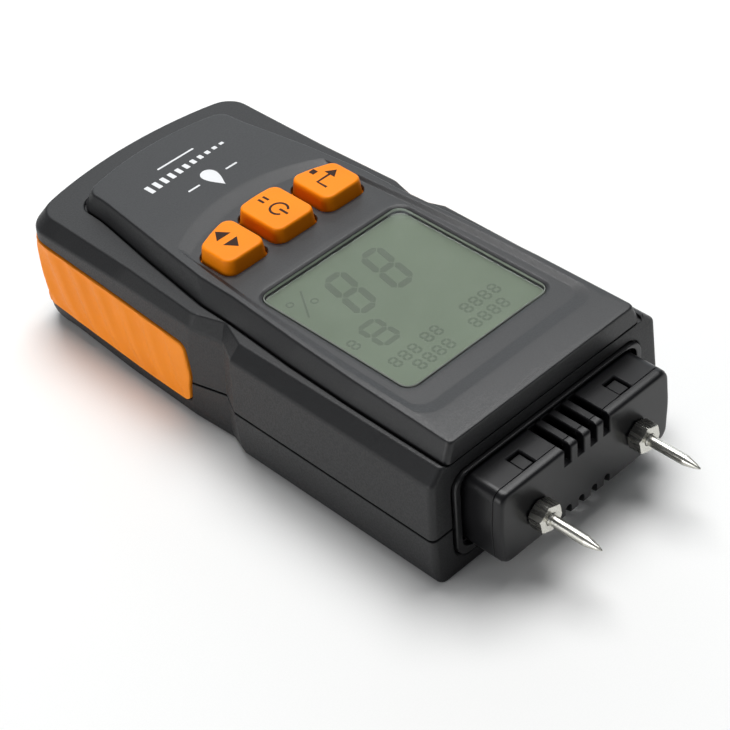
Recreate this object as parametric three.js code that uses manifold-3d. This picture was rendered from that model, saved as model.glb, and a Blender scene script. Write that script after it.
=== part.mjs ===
// Handheld pin-type moisture meter.
// Millimetres, +Z out of the display, +Y towards the probe pins, +X to the user's right when the
// pins point up. The back of the case lies on z = 0, and the origin is the middle of its footprint.
import * as THREE from "three";
import { mergeVertices } from "three/addons/utils/BufferGeometryUtils.js";
import Module from "manifold-3d";

const wasm = await Module();
wasm.setup();

// ---------------------------------------------------------------- driving dimensions
const gap = 0.3;             // clearance kept between pieces that touch
const wall = 2.2;            // case wall thickness
const floorZ = 2.4;          // inner face of the rear case's floor
const parting = { noseZ: 12.3, tailZ: 10.0, fromY: -22, toY: -10.4 };  // joint of the case halves
const shoulderZ = 29.6;      // deck that the faceplate sits in
const faceZ = 34.3;          // faceplate top
const keyTopZ = 37.1;        // key tops
const keyTravel = 0.5;       // how far a key can be pressed
const tipY = 80;             // pin points
const tailY = -80;           // back wall of the case

const boardZ = 24.0;         // underside of the circuit board
const boardThickness = 1.6;
const board = { x: 23.2, back: -40, front: 43.5 };

const windowX = 21.2;        // display window half width
const windowY = [-9.2, 35.2];
const lensZ = [31.9, 33.3];
const lcdZ = [28.2, 30.3];

const keyFrontY = -18.4;     // edge of the keys nearest the display
const keyArc = { apexY: -32.9, radius: 48.7 };  // the keys' back edges share one arc

const head = { x: 26.0, bottom: 5.6, top: 24.4, seamY: 61.0, frontY: 63.3 };
const pin = { x: 15.1, z: 13.94, radius: 1.2, taper: 4, shank: 1.45 };
const nut = { radius: 3.45, from: 63.6, to: 66.9 };

const aaa = { radius: 5.25, length: 44.5, pitch: 11.0, z: 8.05 };
const contact = { x: 21.8, backY: [-75.9, -75.5], frontY: [-27.4, -27.0], z: [4.0, 9.7], spring: 2.6 };
const bay = { x: 22.6, back: -76.2, front: -26.7, wall: 1.2, top: 12.0 };
const door = { x: 22.9, front: -25.0, z0: 0.3, z1: 2.1, tailTop: 7.3, tailWall: 1.2, tongue: 1.0 };

// ---------------------------------------------------------------- solids
function solidOf(geometry) {
  const bare = geometry.clone();
  bare.deleteAttribute("normal");
  bare.deleteAttribute("uv");
  const merged = mergeVertices(bare, 1e-4);
  return new wasm.Manifold(new wasm.Mesh({
    numProp: 3,
    vertProperties: new Float32Array(merged.attributes.position.array),
    triVerts: new Uint32Array(merged.index.array),
  }));
}

function geometryOf(solid) {
  const mesh = solid.getMesh();
  const geometry = new THREE.BufferGeometry();
  geometry.setAttribute("position", new THREE.BufferAttribute(new Float32Array(mesh.vertProperties), 3));
  geometry.setIndex(new THREE.BufferAttribute(new Uint32Array(mesh.triVerts), 1));
  return geometry;
}

const join = (...solids) => solids.reduce((sum, solid) => sum.add(solid));
const cut = (base, ...tools) => tools.reduce((left, tool) => left.subtract(tool), base);

function box(x0, x1, y0, y1, z0, z1) {
  const geometry = new THREE.BoxGeometry(x1 - x0, y1 - y0, z1 - z0);
  return solidOf(geometry.translate((x0 + x1) / 2, (y0 + y1) / 2, (z0 + z1) / 2));
}

function rodZ(x, y, radius, z0, z1, sides = 16) {
  const geometry = new THREE.CylinderGeometry(radius, radius, z1 - z0, sides);
  return solidOf(geometry.rotateX(Math.PI / 2).translate(x, y, (z0 + z1) / 2));
}

function rodY(x, z, radius, y0, y1, sides = 16) {
  const geometry = new THREE.CylinderGeometry(radius, radius, y1 - y0, sides);
  return solidOf(geometry.translate(x, (y0 + y1) / 2, z));
}

function flatShape(points) {
  return new THREE.Shape(points.map(([u, v]) => new THREE.Vector2(u, v)));
}

// Prisms of an outline in the XY, XZ or YZ plane.
function prismZ(points, z0, z1) {
  const geometry = new THREE.ExtrudeGeometry(flatShape(points), { depth: z1 - z0, bevelEnabled: false });
  return solidOf(geometry.translate(0, 0, z0));
}

function prismY(points, y0, y1) {
  const geometry = new THREE.ExtrudeGeometry(flatShape(points), { depth: y1 - y0, bevelEnabled: false });
  return solidOf(geometry.rotateX(Math.PI / 2).translate(0, y1, 0));
}

function prismX(points, x0, x1) {
  const geometry = new THREE.ExtrudeGeometry(flatShape(points), { depth: x1 - x0, bevelEnabled: false });
  const turn = new THREE.Matrix4().makeBasis(
    new THREE.Vector3(0, 1, 0), new THREE.Vector3(0, 0, 1), new THREE.Vector3(1, 0, 0));
  return solidOf(geometry.applyMatrix4(turn).translate(x0, 0, 0));
}

// A closed skin through rings of [x, y, z] points, lowest ring first, anticlockwise from above.
function loft(rings) {
  const count = rings[0].length;
  const index = [];
  for (let level = 1; level < rings.length; level += 1) {
    for (let i = 0; i < count; i += 1) {
      const a = (level - 1) * count + i;
      const b = (level - 1) * count + (i + 1) % count;
      index.push(a, b, b + count, a, b + count, a + count);
    }
  }
  const cap = (ring, first, up) => {
    const flat = ring.map(([x, y]) => new THREE.Vector2(x, y));
    for (const [a, b, c] of THREE.ShapeUtils.triangulateShape(flat, [])) {
      index.push(first + a, first + (up ? b : c), first + (up ? c : b));
    }
  };
  cap(rings[0], 0, false);
  cap(rings.at(-1), (rings.length - 1) * count, true);
  const geometry = new THREE.BufferGeometry();
  geometry.setAttribute("position", new THREE.Float32BufferAttribute(rings.flat(2), 3));
  geometry.setIndex(index);
  return solidOf(geometry);
}

// ---------------------------------------------------------------- outlines
// Rounds the corners of a closed outline. A corner is [x, y] or [x, y, radius].
function rounded(corners, steps = 3) {
  const outline = [];
  corners.forEach(([x, y, radius = 0], i) => {
    if (!radius) {
      outline.push([x, y]);
      return;
    }
    const here = new THREE.Vector2(x, y);
    const towards = ([u, v]) => new THREE.Vector2(u, v).sub(here).normalize();
    const back = towards(corners.at(i - 1));
    const on = towards(corners[(i + 1) % corners.length]);
    const half = back.angleTo(on) / 2;
    const middle = back.clone().add(on).normalize().multiplyScalar(radius / Math.sin(half)).add(here);
    const start = here.clone().addScaledVector(back, radius / Math.tan(half)).sub(middle);
    const sweep = Math.sign(back.cross(on)) * -(Math.PI - 2 * half);
    for (let k = 0; k <= steps; k += 1) {
      const turned = start.clone().rotateAround(new THREE.Vector2(), sweep * k / steps);
      outline.push([middle.x + turned.x, middle.y + turned.y]);
    }
  });
  return outline;
}

function rectangle(u0, u1, v0, v1, radius = 0) {
  return rounded([[u0, v0, radius], [u1, v0, radius], [u1, v1, radius], [u0, v1, radius]]);
}

// The body's plan outline at one height. `sides` are [y, half width] from the tail to the nose.
// The tail is a shallow arc of radius `bow` between two corners of radius `radius`.
function planRing(level, inset = 0) {
  const { z, back, front, bow, radius, sides } = level;
  const cornerX = sides[0][1] - inset;
  const arcEnd = cornerX - 1.35 * radius;
  const flat = arcEnd / 3;
  const onArc = (x) => [x, back + inset + (x * x - flat * flat) / (2 * bow)];
  const bevel = 0.8;
  const nose = sides.at(-1)[1] - inset;
  const right = [
    ...[flat, 2 * flat, arcEnd].map(onArc),
    [...onArc(cornerX), radius],
    ...sides.map(([y, x]) => [x - inset, Math.min(y, front - inset - bevel)]),
    [nose - bevel, front - inset],
  ];
  const left = right.map(([x, y, r]) => [-x, y, r]).reverse();
  const heightAt = typeof z === "function" ? z : () => z;
  return rounded([...right, ...left], 4).map(([x, y]) => [x, y, heightAt(y)]);
}

// The joint between the case halves steps down from the nose to the handle.
function partingHeight(y) {
  const share = THREE.MathUtils.clamp((y - parting.fromY) / (parting.toY - parting.fromY), 0, 1);
  return parting.tailZ + (parting.noseZ - parting.tailZ) * share;
}

// Heights of the body, from the resting face to the shoulder.
const bow = 105;
const bodyLevels = {
  floor: {
    z: 0, back: -78.4, front: 53.4, bow, radius: 5.5,
    sides: [[-66, 29.9], [-45, 31.2], [-22, 31.8], [-10.4, 31.2], [-5, 33.0], [53, 33.0]],
  },
  hem: {
    z: 2.6, back: -79.5, front: 53.3, bow, radius: 6.2,
    sides: [[-66, 31.4], [-45, 32.0], [-22, 32.4], [-10.4, 31.7], [-5, 33.9], [53, 33.9]],
  },
  joint: {
    z: partingHeight, back: tailY, front: 53.2, bow, radius: 6.6,
    sides: [[-66, 32.4], [-45, 32.5], [-22, 32.7], [-10.4, 31.8], [-5, 34.5], [53, 34.6]],
  },
  eave: {
    z: 26.4, back: -79.8, front: 52.8, bow, radius: 6.6,
    sides: [[-66, 32.2], [-45, 31.9], [-22, 32.2], [-10.6, 30.2], [-5, 33.7], [53, 33.8]],
  },
  shoulder: {
    z: shoulderZ, back: -77.6, front: 52.6, bow, radius: 6,
    sides: [[-66, 29.4], [-43, 29.4], [-24, 30.4], [-12.4, 28.3], [-4.6, 30.5], [53, 30.2]],
  },
};

function bodySolid(inset) {
  const { floor, hem, joint, eave, shoulder } = bodyLevels;
  return loft([floor, hem, joint, eave, shoulder].map((level) => planRing(level, inset)));
}

// Rings of the faceplate: where its skirt meets the deck, and its top edge.
const plateSkirt = {
  z: 30.0, back: -70.9, front: 52.5, bow: 70, radius: 4.4,
  sides: [[-60, 22.0], [-41, 24.7], [-20.5, 27.2], [-11.5, 27.3], [8, 28.8], [26, 29.5], [53, 29.7]],
};
const plateTop = {
  z: faceZ, back: -69.2, front: 52.3, bow: 70, radius: 3.6,
  sides: [[-61, 20.4], [-41, 23.0], [-23.5, 24.8], [-13, 24.8], [8, 26.1], [26, 26.9], [53, 27.4]],
};
const at = (level, z) => ({ ...level, z });

// ---------------------------------------------------------------- node placing
const meter = new THREE.Group();

function add(name, solid, color, roughness = 0.6, metalness = 0) {
  const material = new THREE.MeshStandardMaterial({ color, roughness, metalness });
  const mesh = new THREE.Mesh(geometryOf(solid), material);
  mesh.name = name;
  meter.add(mesh);
}

const black = 0x262628;
const dark = 0x1b1b1d;
const orange = 0xf28a1e;
const nickel = 0xc9c8c2;
const brass = 0xc8a24a;
const sides = [["right", 1], ["left", -1]];

// ---------------------------------------------------------------- case screws and their posts
const caseScrewSpots = [[29, 42], [-29, 42], [27, -17.5], [-27, -17.5]];
const screw = { radius: 1.2, head: 2.4, headZ: 2.5, seatZ: 4.4, topZ: 20 };
const post = { lower: 3.7, upper: 2.9, hole: 1.65, sink: 2.85 };

function caseScrew([x, y]) {
  const shank = rodZ(x, y, screw.radius, screw.seatZ - 0.2, screw.topZ, 12);
  const dome = rodZ(x, y, screw.head, screw.headZ, screw.seatZ, 16);
  const slot = (a, b) => box(x - a, x + a, y - b, y + b, screw.headZ - 1, screw.headZ + 0.8);
  return cut(join(shank, dome), slot(1.6, 0.35), slot(0.35, 1.6));
}

// ---------------------------------------------------------------- head opening in the front wall
const headHole = rectangle(-head.x - gap, head.x + gap, head.bottom - gap, head.top + gap, 2.6);
const sealOuter = { x: 28.6, bottom: 3.0, top: 25.9, radius: 4 };
const sealRecess = rectangle(-sealOuter.x, sealOuter.x, sealOuter.bottom, sealOuter.top, sealOuter.radius);
const frontOpening = join(prismY(headHole, 50, 55), prismY(sealRecess, 52.1, 55));

// ---------------------------------------------------------------- grip window
const gripWindow = (grow) => rounded([
  [-84, 6.9 - grow], [-62, 5.2 - grow], [-36, 4.0 - grow], [-22.6 + grow, 4.0 - grow, 2.4],
  [-21.4 + grow, 12], [-23.6 + grow, 20.3 + grow, 2.4], [-40, 21.2 + grow], [-84, 24.1 + grow],
]);
const gripBand = (grow) => join(
  prismX(gripWindow(grow), 25.6 - grow, 38), prismX(gripWindow(grow), -38, grow - 25.6));
const gripPocket = cut(bodySolid(-3), bodySolid(1.0)).intersect(gripBand(gap));

// ---------------------------------------------------------------- rear case
function rearCase() {
  const { floor, hem, joint } = bodyLevels;
  let body = loft([floor, hem, joint].map((level) => planRing(level)));
  body = cut(body, loft([planRing(at(hem, floorZ), wall), planRing(at(joint, 13), wall)]));
  const bayBlock = (top) => box(
    -bay.x - bay.wall, bay.x + bay.wall, bay.back - bay.wall, bay.front + bay.wall, floorZ - 0.2, top);
  const bayWalls = join(bayBlock(parting.tailZ - gap), bayBlock(bay.top).intersect(bodySolid(wall + gap)));
  body = join(body, bayWalls, ...caseScrewSpots.map(([x, y]) => rodZ(x, y, post.lower, 2, bay.top)));
  body = cut(body, box(-bay.x, bay.x, bay.back, bay.front, floorZ, 13));
  const doorway = box(-door.x - gap, door.x + gap, -82, door.front + gap, -1, floorZ);
  const tailway = cut(bodySolid(-3), bodySolid(door.tailWall + gap)).intersect(
    box(-door.x - gap, door.x + gap, -82, -70, -1, door.tailTop + gap));
  const railX = door.x + door.tongue + gap;
  const rail = box(-railX, railX, -82, door.front + gap, 0.9, floorZ);
  body = cut(body, doorway, tailway, rail, frontOpening, gripPocket);
  for (const [x, y] of caseScrewSpots) {
    body = cut(body, rodZ(x, y, post.hole, 0, 14), rodZ(x, y, post.sink, -1, screw.seatZ + gap));
  }
  return body;
}

// ---------------------------------------------------------------- front case
function frontCase() {
  const { joint, eave, shoulder } = bodyLevels;
  const start = parting.noseZ + gap;
  let body = loft([at(joint, (y) => partingHeight(y) + gap), eave, shoulder].map((level) => planRing(level)));
  const roof = 27.4;
  body = cut(body, loft([planRing(at(joint, 9), wall), planRing(at(eave, 25.6), wall),
    planRing(at(shoulder, roof), 1.4)]));
  const posts = [
    ...caseScrewSpots.map(([x, y]) => rodZ(x, y, post.upper, start, roof + 0.4)),
    ...boardScrewSpots.map(([x, y]) => rodZ(x, y, 2.6, boardZ + boardThickness + gap, roof + 0.4)),
  ];
  body = join(body, ...posts);
  const seat = loft([planRing(at(plateSkirt, 28.7), -0.35), planRing(at(plateSkirt, 36), -0.35)]);
  const displayHole = box(-23.9, 23.9, -12.5, 38.5, 24, 30);
  const keyHole = box(-21.8, 21.8, -34.4, -16.6, 24, 30);
  body = cut(body, seat, displayHole, keyHole, frontOpening, gripPocket,
    box(-30, 30, 51.5, 54, 28.7, 36));
  for (const [x, y] of caseScrewSpots) {
    body = cut(body, rodZ(x, y, post.hole, start - 1, screw.topZ + 1));
  }
  for (const [x, y] of boardScrewSpots) {
    body = cut(body, rodZ(x, y, boardScrew.hole, boardZ, boardScrew.topZ + gap));
  }
  return body;
}

// ---------------------------------------------------------------- keys
const keySpans = { key_set: [8.6, 20.6], key_power: [-6.2, 6.2], key_enter: [-20.6, -8.6] };
const keyCentre = ([x0, x1]) => (x0 + x1) / 2;
const keySwitchY = -25.4;
const arcY = (x) => keyArc.apexY + keyArc.radius - Math.sqrt(keyArc.radius ** 2 - x ** 2);

function keyRing([x0, x1], z, inset) {
  const radius = Math.max(0.8, 2.6 - inset);
  const [a, b] = [x0 + inset, x1 - inset];
  const middle = (a + b) / 2;
  return rounded([
    [a, arcY(a) + inset, radius], [middle, arcY(middle) + inset], [b, arcY(b) + inset, radius],
    [b, keyFrontY - inset, radius], [a, keyFrontY - inset, radius],
  ]).map(([x, y]) => [x, y, z]);
}

const keyFlangeZ = [31.2, 32.1];
const nubZ = 30.4;

function keyCap(span) {
  const cap = loft([
    keyRing(span, keyFlangeZ[1] - 0.2, 0.0), keyRing(span, 34.6, 0.15), keyRing(span, 36.2, 0.5),
    keyRing(span, 36.85, 1.0), keyRing(span, keyTopZ, 2.0),
  ]);
  const flange = loft([keyRing(span, keyFlangeZ[0], -0.7), keyRing(span, keyFlangeZ[1], -0.7)]);
  return join(cap, flange, rodZ(keyCentre(span), keySwitchY, 1.3, nubZ, keyFlangeZ[0] + 0.2, 12));
}

// ---------------------------------------------------------------- faceplate and display
const plateUnderZ = 32.4;
const displayUnderZ = 30.7;

function faceplate() {
  const low = 29.0;
  let plate = loft([planRing(at(plateSkirt, low)), planRing(plateSkirt), planRing(plateTop)]);
  const tilt = { hingeY: -41, fall: 0.9 / 28.2 };
  const slab = new THREE.BoxGeometry(60, 60, 10).translate(0, -30, 5).rotateX(Math.atan(tilt.fall));
  plate = cut(plate, solidOf(slab.translate(0, tilt.hingeY, faceZ)));
  const skirt = 1.7;
  const hollow = (level, top, inset) => loft([low - 1, top].map((z) => planRing(at(level, z), inset)));
  plate = cut(plate, hollow(plateSkirt, displayUnderZ, skirt));
  const upperSides = [[-60, 22.0], [-41, 24.7], [-30, 25.2], [-14.8, 25.4]];
  const keyPocket = { ...plateSkirt, front: -14, sides: upperSides };
  plate = cut(plate, hollow(keyPocket, plateUnderZ, 2.6));
  const pane = rectangle(-windowX, windowX, ...windowY, 2.8);
  const lip = rectangle(1 - windowX, windowX - 1, windowY[0] + 1, windowY[1] - 1, 2.2);
  plate = cut(plate, prismZ(pane, lensZ[0] - gap, 40), prismZ(lip, 28, 40));
  for (const span of Object.values(keySpans)) {
    plate = cut(plate, loft([keyRing(span, 31, -0.35), keyRing(span, 36, -0.35)]));
  }
  return plate;
}

const lens = prismZ(
  rectangle(gap - windowX, windowX - gap, windowY[0] + gap, windowY[1] - gap, 2.5), ...lensZ);
const lcd = box(-21.5, 21.5, -10.1, 36.1, ...lcdZ);
const boardTop = boardZ + boardThickness;
const lcdFrame = cut(
  join(
    cut(box(-23.4, 23.4, -12.0, 38.0, boardTop + gap, 30.2), box(-21.8, 21.8, -10.4, 36.4, 20, 40)),
    box(-21.9, 21.9, -6.0, 32.0, 26.9, 27.9)),
  box(-16, 16, 0, 26, 20, 40));

// ---------------------------------------------------------------- electronics
const boardScrewSpots = [[19, -37.2], [-19, -37.2], [19, 41.2], [-19, 41.2]];
const boardScrew = { radius: 1.0, hole: 1.4, head: 2.1, headZ: 22.3, seatZ: 23.7, topZ: 28.0 };

function circuitBoard() {
  let plate = box(-board.x, board.x, board.back, board.front, boardZ, boardTop);
  for (const [x, y] of boardScrewSpots) {
    plate = cut(plate, rodZ(x, y, boardScrew.hole, 20, 30, 12));
  }
  return plate;
}

const switchTopZ = 29.0;
const plunger = { radius: 1.5, bottom: 28.0, top: 30.1 };

function switchBody(x) {
  const block = box(x - 3, x + 3, keySwitchY - 3, keySwitchY + 3, boardTop + gap, switchTopZ);
  return cut(block, rodZ(x, keySwitchY, plunger.radius + 0.35, plunger.bottom - keyTravel - gap, 30));
}

// A round wire along a smooth path.
function wire(points, radius, steps) {
  const path = new THREE.CatmullRomCurve3(points.map((p) => new THREE.Vector3(...p)));
  const section = new THREE.Shape().absarc(0, 0, radius, 0, Math.PI * 2);
  const geometry = new THREE.ExtrudeGeometry(section, { steps, curveSegments: 4, extrudePath: path });
  return solidOf(geometry);
}

// ---------------------------------------------------------------- probe head
const slotX = [-5.9, -1.97, 1.97, 5.9];
const slotWidth = 2.0;
const hook = { x: 14.5, window: 1.6, back: 56.4, tab: 1.3 };

function headOutline(inset) {
  const middle = (head.bottom + head.top) / 2;
  const edge = head.x - inset;
  const corner = edge - 0.7;
  const [low, high] = [head.bottom + inset, head.top - inset];
  return rounded([[-corner, low, 2.4], [corner, low, 2.4], [edge, middle], [corner, high, 2.4],
    [-corner, high, 2.4], [-edge, middle]]);
}

const headSlots = join(...slotX.map((x) => join(
  box(x - slotWidth / 2, x + slotWidth / 2, 54.0, 70, 20.0, 26),
  box(x - slotWidth / 2, x + slotWidth / 2, 54.0, 70, 4, 7.8))));

function probeHead() {
  const flangeY = [48.4, 50.6];
  const sleeve = join(
    prismY(headOutline(0), flangeY[0], head.seamY - gap / 2),
    prismY(rectangle(-28, 28, 3.8, 26, 3), ...flangeY));
  const hollow = prismY(headOutline(1.6), 40, 70);
  const windows = [-1, 1].map((side) => box(
    side * hook.x - hook.window, side * hook.x + hook.window, hook.back, 70, 20, 26));
  return cut(sleeve, hollow, headSlots, ...windows);
}

function probeCover() {
  const back = head.seamY + gap / 2;
  const ringAt = (y, inset) => headOutline(inset).map(([x, z]) => [x, -z, y]);
  const skin = loft([ringAt(back, 0), ringAt(head.frontY - 1.4, 0.15), ringAt(head.frontY, 1.1)].map(
    (ring) => ring.slice().reverse()));
  const turned = skin.rotate([-90, 0, 0]);
  const hooks = [-1, 1].map((side) => join(
    box(side * hook.x - hook.tab, side * hook.x + hook.tab, 57.2, back + 0.5, 21.0, 22.4),
    box(side * hook.x - hook.tab, side * hook.x + hook.tab, 57.2, 59.6, 22.2, 23.7)));
  const holes = [-1, 1].map((side) => rodY(side * pin.x, pin.z, pin.shank + 0.4, 55, 70));
  return cut(join(turned, ...hooks), headSlots, ...holes);
}

const sealRing = cut(
  prismY(rectangle(-sealOuter.x + gap, sealOuter.x - gap, sealOuter.bottom + gap, sealOuter.top - gap, 3.8),
    52.4, 53.7),
  prismY(rectangle(-26.7, 26.7, 4.9, 24.95, 3.0), 50, 60));

function pinNut(x) {
  const hexagon = new THREE.CylinderGeometry(nut.radius, nut.radius, nut.to - nut.from, 6);
  const turned = hexagon.rotateY(THREE.MathUtils.degToRad(10)).translate(x, (nut.from + nut.to) / 2, pin.z);
  return cut(solidOf(turned), rodY(x, pin.z, pin.shank + 0.35, 60, 70));
}

function probePin(x) {
  const profile = [
    [0, 56.6], [pin.shank, 56.6], [pin.shank, nut.to - 0.2], [pin.radius, nut.to - 0.2],
    [pin.radius, tipY - pin.taper], [0.62, tipY - 1.4], [0, tipY],
  ];
  const geometry = new THREE.LatheGeometry(profile.map(([r, y]) => new THREE.Vector2(r, y)), 16);
  return solidOf(geometry.translate(x, 0, pin.z));
}

function pinSocket(x) {
  const body = rodY(x, pin.z, 3.0, 56.9, 60.6, 12);
  return cut(body, rodY(x, pin.z, pin.shank + 0.35, 50, 70));
}

// ---------------------------------------------------------------- grips
function grip(side) {
  const reach = side > 0 ? prismX(gripWindow(0), 25.6, 38) : prismX(gripWindow(0), -38, -25.6);
  let pad = cut(bodySolid(-0.45), bodySolid(0.7)).intersect(reach);
  const flute = { count: 7, pitch: 7.7, firstY: -29.5, radius: 9, depth: 0.45, lean: 20 };
  for (let i = 0; i < flute.count; i += 1) {
    const rod = new THREE.CylinderGeometry(flute.radius, flute.radius, 60, 24).rotateX(Math.PI / 2);
    rod.rotateX(THREE.MathUtils.degToRad(flute.lean));
    rod.translate(side * (32.95 + flute.radius - flute.depth), flute.firstY - i * flute.pitch, 12.5);
    pad = cut(pad, solidOf(rod));
  }
  return pad;
}

// ---------------------------------------------------------------- battery door, cells and contacts
function batteryDoor() {
  const panel = join(
    box(-door.x, door.x, -82, door.front, door.z0, door.z1),
    box(-door.x - door.tongue, door.x + door.tongue, -75, door.front - 1, 1.2, door.z1));
  const tailWall = box(-door.x, door.x, -82, -70, door.z0, door.tailTop);
  const skin = cut(bodySolid(0), bodySolid(door.tailWall));
  return join(panel.intersect(bodySolid(0)), skin.intersect(tailWall));
}

const cellX = [-1.5, -0.5, 0.5, 1.5].map((step) => step * aaa.pitch);

// A cell's plain end sits on its spring, and every second cell points the other way.
const cellBack = (flip) => contact.backY[1] + gap + (flip ? 0 : contact.spring + gap);

function cell(x, flip) {
  const { radius, length } = aaa;
  const profile = [[0, 0], [radius, 0], [radius, length - 1], [1.9, length - 1], [1.9, length], [0, length]];
  const geometry = new THREE.LatheGeometry(profile.map(([r, y]) => new THREE.Vector2(r, y)), 20);
  const turned = flip ? geometry.rotateX(Math.PI).translate(0, length, 0) : geometry;
  return solidOf(turned.translate(x, cellBack(flip), aaa.z));
}

function cellSpring(x, flip) {
  const { spring } = contact;
  const cone = new THREE.CylinderGeometry(flip ? 3.6 : 2.2, flip ? 2.2 : 3.6, spring, 12);
  const start = flip ? cellBack(flip) + aaa.length + gap : cellBack(flip) - gap - spring;
  return solidOf(cone.translate(x, start + spring / 2, aaa.z));
}

// ---------------------------------------------------------------- the assembly
add("rear_case", rearCase(), black, 0.62);
add("front_case", frontCase(), black, 0.62);
add("faceplate", faceplate(), 0x303033, 0.55);
add("display_lens", lens, 0xa9b5a2, 0.08);
add("lcd_panel", lcd, 0x8a9583, 0.3);
add("lcd_frame", lcdFrame, dark, 0.6);
for (const [name, y] of [["top", 33.2], ["bottom", -8.9]]) {
  add(`zebra_strip_${name}`, box(-20, 20, y, y + 2.0, boardTop + gap, 27.9), 0x3a3a3a, 0.8);
}
add("circuit_board", circuitBoard(), 0x1f6b3a, 0.45);
add("controller_chip", box(-6, 6, 8, 20, 22.1, boardZ - gap), 0x18181a, 0.5);
add("buzzer", rodZ(11, -20, 6, 17.2, boardZ - gap, 20), 0x151515, 0.5);
boardScrewSpots.forEach(([x, y], i) => {
  const { radius, seatZ, topZ, headZ } = boardScrew;
  const shank = rodZ(x, y, radius, seatZ - 0.2, topZ, 10);
  const solid = join(shank, rodZ(x, y, boardScrew.head, headZ, seatZ, 12));
  add(`board_screw_${i + 1}`, solid, nickel, 0.3, 1);
});
for (const [name, span] of Object.entries(keySpans)) {
  const label = name.slice("key_".length);
  const x = keyCentre(span);
  add(name, keyCap(span), orange, 0.5);
  add(`switch_${label}`, switchBody(x), 0x1d1d1f, 0.5);
  const stem = rodZ(x, keySwitchY, plunger.radius, plunger.bottom, plunger.top, 12);
  add(`plunger_${label}`, stem, 0xd8d6cc, 0.5);
}
for (const [name, side] of sides) {
  add(`grip_${name}`, grip(side), orange, 0.6);
}
add("head_seal", sealRing, dark, 0.4);
add("probe_head", probeHead(), dark, 0.42);
add("probe_cover", probeCover(), dark, 0.42);
for (const [name, side] of sides) {
  const x = side * pin.x;
  add(`pin_nut_${name}`, pinNut(x), nickel, 0.25, 1);
  add(`probe_pin_${name}`, probePin(x), nickel, 0.2, 1);
  add(`pin_socket_${name}`, pinSocket(x), brass, 0.35, 1);
  const route = [
    [x, 55.9, pin.z], [x, 51, pin.z], [x * 0.9, 45, 16.5], [x * 0.8, 40, 20.5], [x * 0.8, 37, 23.4],
  ];
  add(`probe_lead_${name}`, wire(route, 0.7, 14), side > 0 ? 0xb3221c : 0x202020, 0.5);
}
add("battery_door", batteryDoor(), black, 0.62);
cellX.forEach((x, i) => {
  const flip = i % 2 === 1;
  add(`battery_${i + 1}`, cell(x, flip), 0x3b6ea8, 0.4);
  add(`battery_spring_${i + 1}`, cellSpring(x, flip), nickel, 0.3, 1);
});
for (const [name, [y0, y1]] of [["back", contact.backY], ["front", contact.frontY]]) {
  add(`contact_plate_${name}`, box(-contact.x, contact.x, y0, y1, ...contact.z), nickel, 0.3, 1);
}
caseScrewSpots.forEach((spot, i) => add(`case_screw_${i + 1}`, caseScrew(spot), 0x8d8d90, 0.35, 1));

export default meter;
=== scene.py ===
"""Looks for a handheld pin-type moisture meter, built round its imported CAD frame.

Millimetres throughout, in the CAD's frame: +X right, +Y to the pins, +Z out of the display.
Every new mesh is scaled to metres when it is finished.
"""
import math

import bmesh
import bpy
import numpy as np
from mathutils import Matrix, Vector
from mathutils.geometry import delaunay_2d_cdt


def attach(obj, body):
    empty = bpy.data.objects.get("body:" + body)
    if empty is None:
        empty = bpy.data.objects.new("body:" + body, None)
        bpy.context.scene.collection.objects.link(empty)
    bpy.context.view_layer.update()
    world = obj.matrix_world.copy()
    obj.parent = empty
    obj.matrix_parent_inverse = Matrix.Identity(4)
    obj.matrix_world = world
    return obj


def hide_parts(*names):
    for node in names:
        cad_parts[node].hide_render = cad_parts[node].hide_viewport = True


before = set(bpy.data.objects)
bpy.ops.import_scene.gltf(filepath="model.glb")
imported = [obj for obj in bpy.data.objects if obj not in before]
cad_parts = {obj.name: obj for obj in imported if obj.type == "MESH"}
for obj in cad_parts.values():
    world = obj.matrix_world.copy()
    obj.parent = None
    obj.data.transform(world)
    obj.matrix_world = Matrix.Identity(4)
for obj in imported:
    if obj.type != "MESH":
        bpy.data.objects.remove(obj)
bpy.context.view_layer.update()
MM = 0.001
scene = bpy.context.scene


# ---- camera, lights and floor
def make_camera():
    data = bpy.data.cameras.new("camera")
    data.lens, data.sensor_width = 107.07, 36
    camera = bpy.data.objects.new("camera", data)
    right = Vector((-0.70645871, 0.70458665, -0.06688613)).normalized()
    ahead = Vector((-0.50122517, -0.56479082, -0.65557963)).normalized()
    turn = Matrix((right, right.cross(ahead), -ahead)).transposed().to_4x4()
    camera.matrix_world = Matrix.Translation(Vector((239.94, 269.25, 319.20)) * MM) @ turn
    scene.collection.objects.link(camera)
    scene.camera = camera


def softbox(name, place, size, power, tone=(1, 1, 1)):
    data = bpy.data.lights.new(name, "AREA")
    data.shape, data.size, data.size_y = "RECTANGLE", *size
    data.energy, data.color = power, tone
    light = bpy.data.objects.new(name, data)
    light.location = place
    light.rotation_euler = (-Vector(place)).to_track_quat("-Z", "Y").to_euler()
    scene.collection.objects.link(light)


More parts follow.
